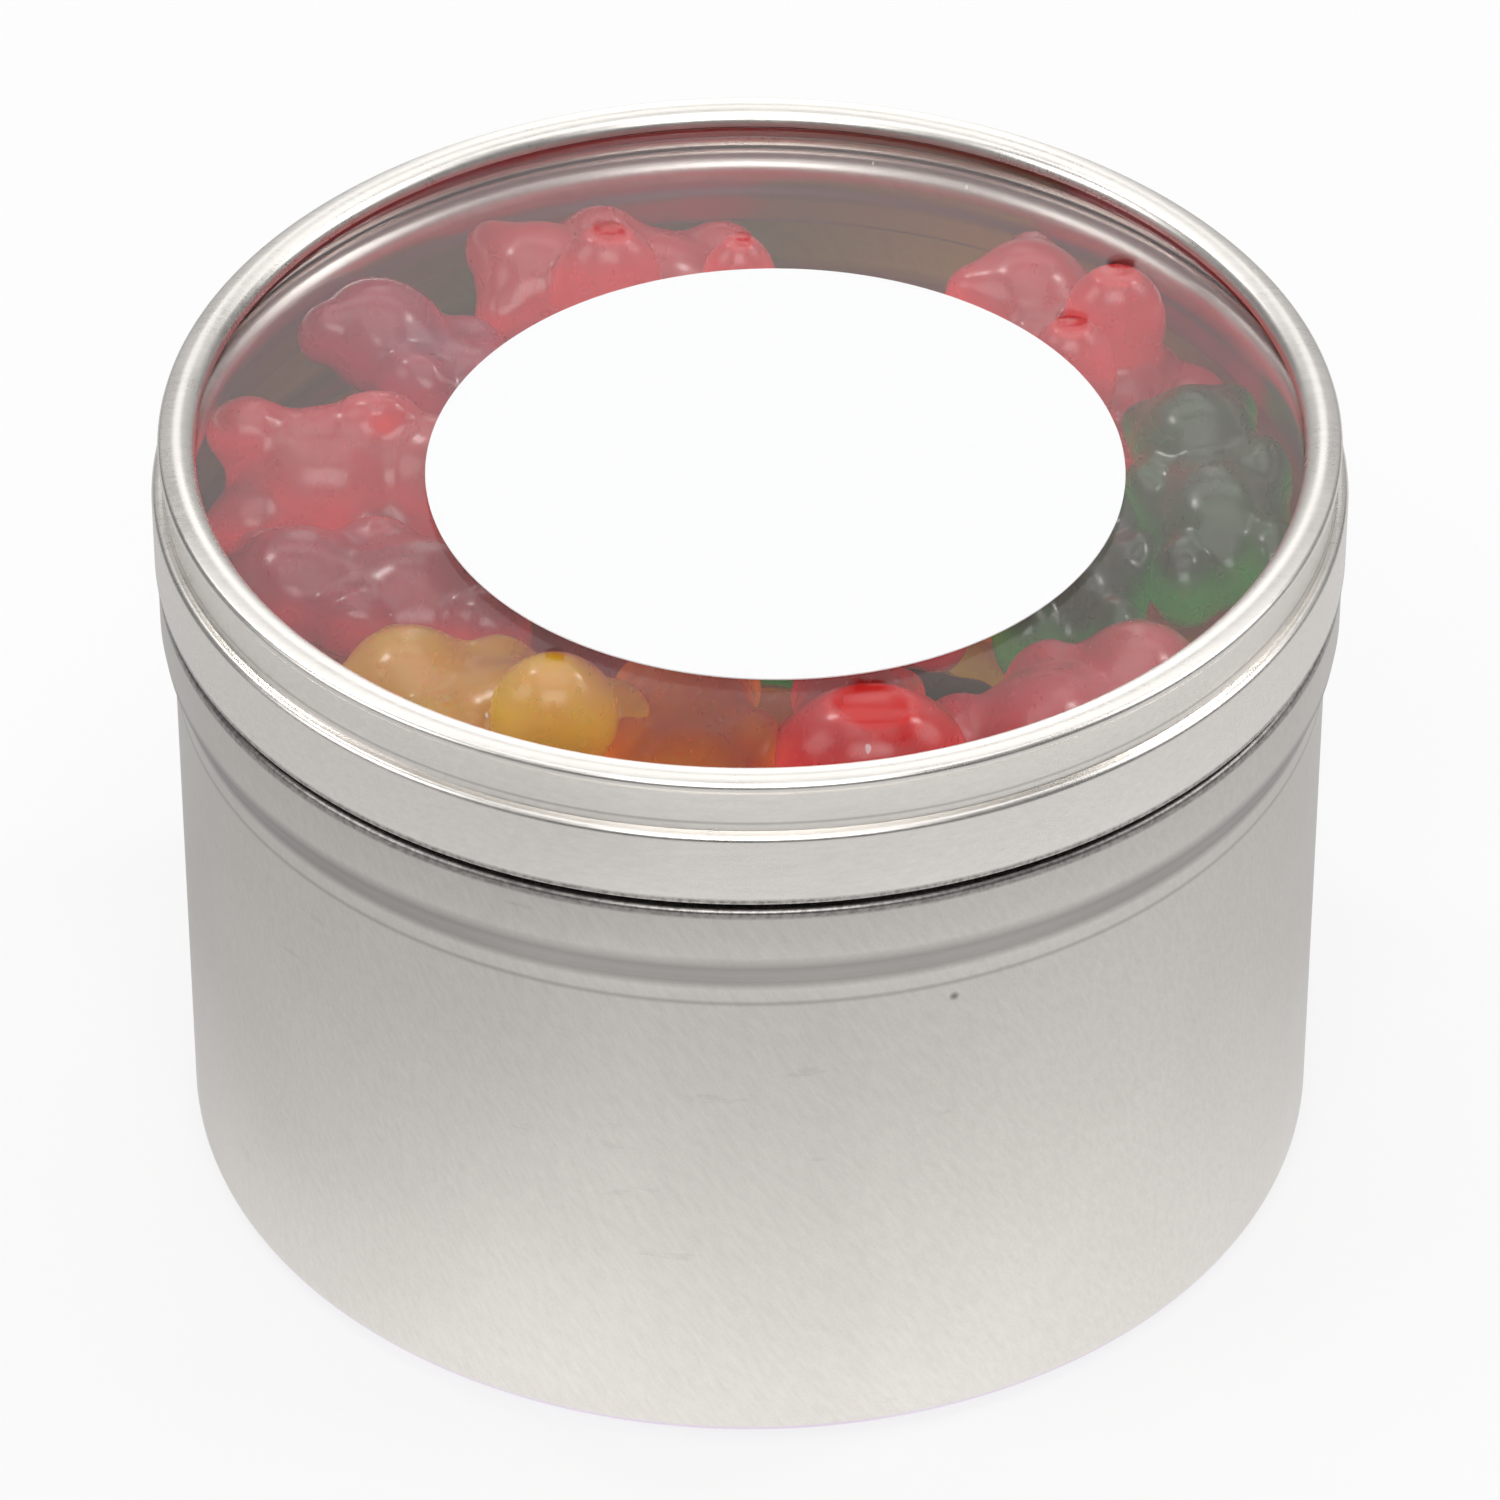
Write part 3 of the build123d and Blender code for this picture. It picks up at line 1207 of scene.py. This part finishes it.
@dataclass
class SweetMould:
    """The mould of a soft sweet that lies on its flat back, feet to the left and head to the right.

    Lobes are the centre and half sizes of each swelling. All sizes are in millimetres.
    """

    length: float = 20.5
    width: float = 11.5
    thickness: float = 8.0
    back_share: float = 0.42
    soft_reach: float = 4.0
    edge_reach: float = 0.9
    cut_near: float = 0.1
    body_lobes: tuple[Lobe, ...] = (
        ((-2.2, 0.0, -0.3), (6.8, 5.1, 3.8)),
        ((-2.6, 0.0, 1.0), (4.8, 4.0, 2.9)),
        ((5.4, 0.0, 0.1), (4.6, 4.5, 3.7)),
        ((5.8, 0.0, 2.0), (2.2, 2.1, 1.8)),
    )
    paired_lobes: tuple[Lobe, ...] = (
        ((8.4, 2.9, -0.4), (1.9, 2.1, 2.3)),
        ((0.9, 4.1, 0.6), (2.9, 1.9, 2.5)),
        ((-7.3, 3.1, 0.3), (3.0, 2.5, 3.1)),
    )

    def lobes(self) -> list[Lobe]:
        """List every lobe, the paired ones on both sides.

        Returns:
            The lobes.
        """
        found = list(self.body_lobes)
        for (x, y, z), size in self.paired_lobes:
            found += [((x, y, z), size), ((x, -y, z), size)]
        return found

    def cast(self, name: str, grid: float) -> bpy.types.Object:
        """Blend the lobes into one soft form and cut its back flat.

        Args:
            name: The cast's name.
            grid: Size of the remeshing grid in millimetres.

        Returns:
            The cast at the origin.
        """
        piece = Bench.join([Bench.ball(place, size) for place, size in self.lobes()])
        piece.name = name
        piece.data.name = name
        Bench.settle(piece)
        Bench.modify(piece, "REMESH", mode="VOXEL", voxel_size=grid * MM)
        Bench.modify(piece, "SMOOTH", factor=0.6, iterations=max(3, round(self.soft_reach / grid)))
        self.cut_back(piece)
        Bench.modify(piece, "SMOOTH", factor=0.5, iterations=max(1, round(self.edge_reach / grid)))
        self.fit(piece)
        Bench.outward(piece)
        return piece

    def cut_back(self, piece: bpy.types.Object) -> None:
        """Cut the lowest slice off flat.

        Args:
            piece: The cast.
        """
        with Bench.whole(piece):
            Bench.cut(-self.back_share * self.thickness, -1.0, self.cut_near)
            bpy.ops.mesh.select_all(action="SELECT")
            bpy.ops.mesh.quads_convert_to_tris()

    def fit(self, piece: bpy.types.Object) -> None:
        """Scale the cast to the mould's length, width and thickness about its centre.

        Args:
            piece: The cast.
        """
        points = np.array([point.co for point in piece.data.vertices])
        low, high = points.min(0), points.max(0)
        middle = Vector((low + high) / 2)
        target = (self.length * MM, self.width * MM, self.thickness * MM)
        scale = [size / (top - bottom) for size, top, bottom in zip(target, high, low)]
        piece.matrix_world = Matrix.Diagonal((*scale, 1.0)) @ Matrix.Translation(-middle)
        Bench.settle(piece)


@dataclass(frozen=True)
class Tip:
    """A limb that a sweet raises to the window.

    Args:
        right: Its middle to the right in millimetres.
        back: Its middle to the back.
        height: Height of its middle.
        size: Its half width, depth and height.
    """

    right: float
    back: float
    height: float
    size: Corner


@dataclass(frozen=True)
class Fit:
    """How a soft sweet settles away from its plain solid.

    Args:
        share: How much it spreads sideways.
        right: How far it slides to the right in millimetres.
        back: How far it slides to the back.
    """

    share: float = 1.05
    right: float = 0.0
    back: float = 0.0


@dataclass(frozen=True)
class Sweet:
    """The soft sweets that stand for one node.

    Args:
        name: The piece's name.
        slot: Its material slot, which also picks its jelly.
        fit: How each sweet settles.
        tips: Its limbs that reach up to the window.
        own: A jelly of its own.
        seen: Whether the window shows it, so that it takes the fine cast.
    """

    name: str
    slot: Slot
    fit: Fit = Fit()
    tips: tuple[Tip, ...] = ()
    own: Jelly | None = None
    seen: bool = True


@dataclass
class Filling:
    """The soft sweets in the tin, each cast into the place of its plain solid.

    Heights and distances are in millimetres, and points closer than near count as one. A point lies on a
    flat face past face_share of half the thickness, and at an end past end_share of half the length. The
    skin's thin edge starts where the skin faces up by side_start, and is thinnest side_range further
    down. An edge of the skin is sharp past the crease's angle in degrees.
    """

    fine: bpy.types.Object
    coarse: bpy.types.Object
    body: str = "tin"
    height_share: float = 1.05
    window_height: float = 58.30
    melt_grid: float = 0.45
    melt_steps: int = 9
    near: float = 0.001
    face_share: float = 0.9
    end_share: float = 0.8
    side_start: float = 0.86
    side_range: float = 0.7
    crease: float = 60.0

    def places(self, node: bpy.types.Object) -> list[Matrix]:
        """Find where each sweet of a node lies, from the node's own solids.

        Args:
            node: The node with one or more plain sweets.

        Returns:
            A turn and place for each sweet.
        """
        Bench.clear()
        with Bench.whole(Bench.copy("plain_copy", node.data), "VERT"):
            bpy.ops.mesh.remove_doubles(threshold=self.near * MM)
            bpy.ops.mesh.separate(type="LOOSE")
        found = []
        for solid in list(bpy.context.selected_objects):
            points = np.array([point.co for point in solid.data.vertices], float)
            found.append(self.lie(points))
            bpy.data.objects.remove(solid)
        return found

    def lie(self, points: np.ndarray) -> Matrix:
        """Work out how a plain sweet lies from its points.

        Args:
            points: Its points.

        Returns:
            The turn and place that take the mould's cast there.
        """
        middle = points.mean(0)
        _, _, axes = np.linalg.svd(points - middle)
        along, across, up = axes
        levels = (points - middle) @ up
        half = (levels.max() - levels.min()) / 2
        centre_level = (levels.max() + levels.min()) / 2
        top = points[levels > centre_level + half * self.face_share]
        low = points[levels < centre_level - half * self.face_share]
        if np.ptp(top @ along) > np.ptp(low @ along):
            up = -up
        runs = (points - middle) @ along
        reach = (runs.max() + runs.min()) / 2
        end = (runs.max() - runs.min()) / 2 * self.end_share
        if (runs - reach > end).sum() > (runs - reach < -end).sum():
            along = -along
        across = np.cross(up, along)
        frame = np.stack([along, across, up])
        spread = (points - middle) @ frame.T
        centre = middle + ((spread.max(0) + spread.min(0)) / 2) @ frame
        turn = Matrix([list(row) for row in frame.T]).to_4x4()
        return Matrix.Translation(Vector(centre)) @ turn

    def lay(self, place: Matrix, sweet: Sweet) -> bpy.types.Object:
        """Lay one cast in its place, spread and slid by its fit.

        Args:
            place: Its turn and place.
            sweet: The sweets that it belongs to.

        Returns:
            The cast in place.
        """
        fit = sweet.fit
        copy = Bench.copy(sweet.name, (self.fine if sweet.seen else self.coarse).data)
        slide = Matrix.Translation((fit.right * MM, fit.back * MM, 0.0))
        copy.matrix_world = slide @ place @ Matrix.Diagonal((fit.share, fit.share, self.height_share, 1.0))
        Bench.settle(copy)
        return copy

    def limb(self, tip: Tip) -> bpy.types.Object:
        """Raise one limb from its sweet to the window.

        Args:
            tip: The limb.

        Returns:
            Its rounded form.
        """
        piece = Bench.ball((tip.right, tip.back, tip.height), tip.size)
        Bench.settle(piece)
        return piece

    def melt(self, piece: bpy.types.Object) -> None:
        """Run a sweet and its limbs into one form, pressed flat where it reaches the window.

        Args:
            piece: The sweet and its limbs.
        """
        Bench.modify(piece, "REMESH", mode="VOXEL", voxel_size=self.melt_grid * MM)
        Bench.modify(piece, "SMOOTH", factor=0.5, iterations=self.melt_steps)
        with Bench.whole(piece):
            Bench.cut(self.window_height, 1.0, self.near)
        Bench.outward(piece)

    def feather(self, piece: bpy.types.Object) -> None:
        """Mark where a sweet's skin turns sideways, its thin edges, which take painted light and painted
        emission.

        Args:
            piece: The sweet.
        """
        marks = piece.data.attributes.new(PAINTED_LIGHT_MARK, "FLOAT", "POINT")
        for mark, point in zip(marks.data, piece.data.vertices):
            side = min(1.0, max(0.0, (self.side_start - abs(point.normal.z)) / self.side_range))
            mark.value = side * side * (3.0 - 2.0 * side)

    def pour(self, node: bpy.types.Object, sweet: Sweet, jelly: bpy.types.Material) -> bpy.types.Object:
        """Cast a node's sweets into their places as one piece.

        Args:
            node: The node that it stands for.
            sweet: How its sweets are cast.
            jelly: Their finish.

        Returns:
            The dressed piece.
        """
        made = [self.lay(place, sweet) for place in self.places(node)]
        made += [self.limb(tip) for tip in sweet.tips]
        piece = Bench.join(made)
        piece.name = sweet.name
        if sweet.tips:
            self.melt(piece)
        self.feather(piece)
        Bench.smooth(piece, self.crease)
        Bench.dress(piece, jelly)
        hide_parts(node.name)
        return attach(piece, self.body)


@dataclass
class Studio:
    """Pale floor, dark card, soft lamps and the camera.

    The camera's and the floor's sizes are in millimetres, the card's and the lamps' in metres. The metal
    sees a pool of brighter floor round the tin, which ends behind it, and the floor darker at the left.
    """

    camera_back: float = -496.33
    camera_height: float = 414.43
    camera_pitch: float = 0.6585
    lens: float = 204.785
    sensor: float = 36.0
    nearest: float = 10.0
    floor_size: float = 6000.0
    floor_colour: Colour = (0.92, 0.92, 0.92)
    floor_shade: Colour = (0.90, 0.90, 0.90)
    floor_white: float = 0.75
    pool_inner: float = 44.0
    pool_fade: float = 56.0
    pool_power: float = 1.46
    pool_strength: float = 0.77
    pool_front: float = 45.0
    pool_back: float = 20.0
    rest_strength: float = 0.58
    left_start: float = 26.0
    left_end: float = 52.0
    left_strength: float = 0.80
    card_place: Corner = (0.0, -1.6, 0.35)
    card_size: Corner = (2.4, 0.02, 0.55)
    card_colour: Colour = (0.03, 0.03, 0.035)
    room_colour: Colour = (0.93, 0.94, 0.96)
    room_strength: float = 0.17
    target: Corner = (0.0, 0.0, 0.05)

    def build_camera(self) -> None:
        """Set the camera at the photograph's place."""
        bpy.ops.object.camera_add(
            location=(0.0, self.camera_back * MM, self.camera_height * MM),
            rotation=(math.pi / 2 - self.camera_pitch, 0.0, 0.0),
        )
        camera = bpy.context.active_object
        camera.data.lens = self.lens
        camera.data.sensor_width = self.sensor
        camera.data.clip_start = self.nearest * MM
        bpy.context.scene.camera = camera

    def pool(self, recipe: Recipe) -> Reading:
        """Find how bright the floor lies in the metal's reflections.

        Args:
            recipe: The floor's recipe.

        Returns:
            Its brightness, where plain white is 1.
        """
        near = recipe.below(recipe.away(), self.pool_inner, self.pool_fade) ** self.pool_power
        front = recipe.spread(recipe.along("Y"), -self.pool_front, self.pool_back, 1.0, 0.0)
        left = recipe.spread(recipe.along("X"), -self.left_end, -self.left_start, self.left_strength)
        return (near * self.pool_strength * front + self.rest_strength) * left

    def build_floor(self) -> None:
        """Lay the white floor, which lies brighter round the tin in the metal's reflections."""
        Bench.clear()
        bpy.ops.mesh.primitive_plane_add(size=self.floor_size * MM, location=ORIGIN)
        floor = bpy.context.active_object
        floor.name = "floor"
        recipe = Recipe("floor_white")
        gloss = recipe.ray("Glossy")
        share = (recipe.ray("Camera") + gloss + recipe.ray("Transmission")) * self.floor_white
        colour = recipe.blend(recipe.noise(Grain(0.02)), self.floor_shade, self.floor_colour)
        matt = recipe.node("ShaderNodeBsdfDiffuse", {}, {"Color": colour})
        strength = gloss * (self.pool(recipe) - 1.0) + 1.0
        white = recipe.node("ShaderNodeEmission", {}, {"Color": WHITE, "Strength": strength})
        Bench.dress(floor, recipe.finish(recipe.mix(share, matt, white)))

    def build_card(self) -> None:
        """Stand the dark card behind the camera, which draws a dark line in the bright metal."""
        recipe = Recipe("card_dark")
        shader = recipe.node("ShaderNodeBsdfDiffuse", {}, {"Color": self.card_colour})
        Bench.clear()
        bpy.ops.mesh.primitive_cube_add(size=1.0, location=self.card_place, scale=self.card_size)
        card = bpy.context.active_object
        card.name = "card_behind_camera"
        card.visible_camera = False
        Bench.dress(card, recipe.finish(shader))

    def hang_lamps(self) -> None:
        """Hang the soft lamps: their names, places, sizes and powers."""
        self.hang("lamp_over", (0.0, -0.1, 1.3), (1.2, 1.0), 4.6)
        self.hang("lamp_back", (0.0, 1.45, 0.539), (0.42, 1.1), 1.5)
        self.hang("lamp_back_wide", (0.0, 1.50, 0.60), (2.8, 0.95), 2.4)
        self.hang("lamp_high", (0.0, 0.78, 1.12), (1.6, 0.42), 2.7)
        self.hang("lamp_front", (0.0, -1.05, 1.05), (1.0, 0.6), 6.5)
        self.hang("lamp_left", (-1.1, -0.3, 0.8), (0.7, 0.7), 3.3)
        self.hang("lamp_right", (1.1, 0.1, 0.9), (0.7, 0.7), 3.3)
        self.hang("lamp_spot_left", (-0.62, 0.42, 1.0), (0.16, 0.16), 1.5)
        self.hang("lamp_spot_right", (0.72, 0.30, 0.95), (0.14, 0.14), 1.2)

    def hang(self, name: str, place: Corner, size: tuple[float, float], power: float) -> None:
        """Hang one soft lamp that points at the tin.

        Args:
            name: Its name.
            place: Where it hangs.
            size: Its width and height.
            power: Its power in watts.
        """
        turn = (Vector(self.target) - Vector(place)).to_track_quat("-Z", "Y")
        bpy.ops.object.light_add(type="AREA", location=place, rotation=turn.to_euler())
        lamp = bpy.context.active_object
        lamp.name = name
        lamp.data.shape = "RECTANGLE"
        lamp.data.size, lamp.data.size_y = size
        lamp.data.energy = power
        lamp.visible_camera = False

    def light_room(self) -> None:
        """Light the room softly, and show plain white behind the tin."""
        recipe = Recipe("room", Ground.ROOM)
        seen = recipe.ray("Camera")
        room = recipe.node(
            "ShaderNodeBackground", {}, {"Color": self.room_colour, "Strength": self.room_strength}
        )
        white = recipe.node("ShaderNodeBackground", {}, {"Color": WHITE, "Strength": 1.0})
        share = seen.work("MAXIMUM", seen, recipe.ray("Transmission"))
        bpy.context.scene.world = recipe.finish(recipe.mix(share, room, white))


# The last colour is the painted_glow, emission that is painted light at thin edges.
BRIGHT_RED = Jelly(
    "jelly_bright_red", (0.90, 0.02, 0.02), (0.72, 0.02, 0.02), (0.80, 0.42, 0.45), (0.26, 0.004, 0.006)
)

SWEETS: dict[str, Sweet] = {
    "red_sweet_at_back": Sweet(
        "jelly_red_back",
        Slot.RED,
        Fit(1.12),
        tips=(Tip(-10.5, 26.6, 53.9, (4.0, 3.3, 4.9)), Tip(-0.8, 25.6, 53.5, (3.0, 2.8, 5.2))),
    ),
    "purple_sweet_at_back_left": Sweet("jelly_purple_back_left", Slot.PURPLE, Fit(1.12, 1.6, 0.5)),
    "red_sweet_at_left": Sweet("jelly_red_left", Slot.RED, Fit(1.12, 1.8, 2.6)),
    "crimson_sweet_at_left": Sweet("jelly_crimson_left", Slot.CRIMSON, Fit(1.14, 0.8, 1.6)),
    "yellow_sweet_at_front_left": Sweet(
        "jelly_yellow_front_left",
        Slot.YELLOW,
        Fit(1.12, 0.6, 0.6),
        tips=(Tip(-13.6, -25.4, 53.2, (4.6, 3.8, 4.8)),),
    ),
    "orange_sweet_at_front": Sweet("jelly_orange_front", Slot.ORANGE, Fit(1.12, 0.0, 0.8)),
    "red_sweet_at_front": Sweet(
        "jelly_red_front",
        Slot.CRIMSON,
        tips=(Tip(8.4, -30.8, 53.4, (6.8, 5.2, 5.5)),),
        own=BRIGHT_RED,
    ),
    "pink_sweet_at_front_right": Sweet("jelly_pink_front_right", Slot.PINK, Fit(1.10, -0.4, 0.4)),
    "green_sweet_at_front_right": Sweet("jelly_green_front_right", Slot.GREEN),
    "green_sweet_at_right": Sweet("jelly_green_right", Slot.GREEN, Fit(1.10, -0.8, 0.0)),
    "red_sweet_at_back_right": Sweet(
        "jelly_red_back_right",
        Slot.RED,
        Fit(1.10, -0.8, -0.5),
        tips=(Tip(26.9, 21.2, 53.9, (3.9, 3.2, 4.9)), Tip(23.4, 14.6, 53.4, (3.6, 3.1, 5.4))),
    ),
    "peach_sweet_at_left": Sweet("jelly_peach_left", Slot.ORANGE),
    "amber_sweet_at_front": Sweet("jelly_amber_front", Slot.YELLOW),
    "amber_sweet_at_right": Sweet("jelly_amber_right", Slot.YELLOW),
    "sweets_under_label": Sweet("jelly_under_label", Slot.RED),
    "lower_red_sweets": Sweet("jelly_lower_red", Slot.RED, seen=False),
    "lower_orange_sweets": Sweet("jelly_lower_orange", Slot.ORANGE, seen=False),
    "lower_yellow_sweets": Sweet("jelly_lower_yellow", Slot.YELLOW, seen=False),
    "lower_green_sweets": Sweet("jelly_lower_green", Slot.GREEN, seen=False),
    "lower_clear_sweets": Sweet("jelly_lower_clear", Slot.CLEAR, seen=False),
}

# Each jelly: its colour, its deep_and_shaded colour with painted shade on skin facing up, its pale bloom,
# and its painted_glow, emission that is painted light at thin edges.
JELLIES: dict[Slot, Jelly] = {
    Slot.RED: Jelly(
        "jelly_red", (0.86, 0.03, 0.04), (0.56, 0.02, 0.03), (0.80, 0.42, 0.45), (0.20, 0.01, 0.014)
    ),
    Slot.CRIMSON: Jelly(
        "jelly_crimson", (0.74, 0.03, 0.05), (0.46, 0.02, 0.04), (0.62, 0.34, 0.40), (0.12, 0.004, 0.01)
    ),
    Slot.PINK: Jelly(
        "jelly_pink", (0.94, 0.16, 0.18), (0.86, 0.12, 0.14), (0.90, 0.60, 0.62), (0.22, 0.03, 0.035)
    ),
    Slot.PURPLE: Jelly(
        "jelly_purple", (0.62, 0.03, 0.07), (0.38, 0.02, 0.06), (0.52, 0.30, 0.38), (0.08, 0.004, 0.01)
    ),
    Slot.YELLOW: Jelly(
        "jelly_yellow", (0.99, 0.66, 0.01), (0.94, 0.48, 0.01), (0.84, 0.64, 0.40), (0.22, 0.12, 0.0)
    ),
    Slot.ORANGE: Jelly(
        "jelly_orange", (0.98, 0.38, 0.01), (0.93, 0.26, 0.01), (0.80, 0.50, 0.30), (0.26, 0.07, 0.0)
    ),
    Slot.GREEN: Jelly(
        "jelly_green", (0.02, 0.24, 0.03), (0.01, 0.06, 0.012), (0.18, 0.24, 0.20), (0.0, 0.10, 0.004)
    ),
    Slot.CLEAR: Jelly(
        "jelly_clear", (0.80, 0.60, 0.38), (0.62, 0.44, 0.27), (0.75, 0.68, 0.58), (0.06, 0.04, 0.02)
    ),
}


def build_tin() -> None:
    """Build and dress the can and its lid."""
    # The can's tinplate keeps the default painted shade in the crease, the band of painted dark reflection
    # and the painted shade under the lid's edge.
    metal = Tinplate("tinplate_satin", inside_radius=41.56).material()
    lid_metal = Tinplate(
        "tinplate_lid",
        roughness=0.29,
        grain=0.08,
        along=(0.12, 1.0, 1.0),
        tilt=0.0,
        # Painted shade along the crease under the upper skirt.
        crease_shade_height=56.6,
        crease_shade_width=0.16,
        # A band of painted dark reflection, set below the lid's sheet.
        dark_reflection_low=45.0,
        dark_reflection_high=47.0,
        # Painted shade along the lid's lower edge.
        lid_edge_shade_height=50.2,
        colour=(0.97, 0.93, 0.88),
        shade=(0.86, 0.825, 0.78),
    ).material()
    LOG.info("made %s", TinBody().build(metal).name)
    lid = WindowLid()
    LOG.info("made %s", lid.build_ring(lid_metal).name)
    # Painted shade: the retaining ring is a darker copy of the tinplate, standing for the shade under the
    # crown.
    shaded_ring_metal = Tinplate("tinplate_ring_painted_shade", colour=(0.50, 0.48, 0.50), shade=(0.42, 0.40, 0.42)).material()
    LOG.info("made %s", lid.build_retainer(shaded_ring_metal).name)
    LOG.info("made %s", lid.build_window(ClearPlastic("window_plastic").material()).name)
    LOG.info("made %s", lid.build_label(LabelPaper("label_paper").material()).name)


def fill_tin(nodes: dict[str, bpy.types.Object]) -> None:
    """Cast every sweet into the tin.

    Args:
        nodes: The plain solids by name.
    """
    mould = SweetMould()
    filling = Filling(mould.cast("fine_cast", grid=0.5), mould.cast("coarse_cast", grid=1.0))
    finishes = {slot: jelly.material() for slot, jelly in JELLIES.items()}
    for node, sweet in SWEETS.items():
        jelly = sweet.own.material() if sweet.own else finishes[sweet.slot]
        piece = filling.pour(nodes[node], sweet, jelly)
        LOG.info("made %s with %d faces", piece.name, len(piece.data.polygons))
    for cast in (filling.fine, filling.coarse):
        bpy.data.objects.remove(cast)


def main() -> None:
    """Build and dress every piece, then the studio."""
    logging.basicConfig(level=logging.INFO, format="%(message)s")
    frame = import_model()
    build_tin()
    fill_tin(frame["nodes"])
    studio = Studio()
    studio.build_floor()
    studio.build_card()
    studio.hang_lamps()
    studio.light_room()
    studio.build_camera()
    bpy.context.scene.view_settings.view_transform = "Standard"


if __name__ == "__main__":
    main()
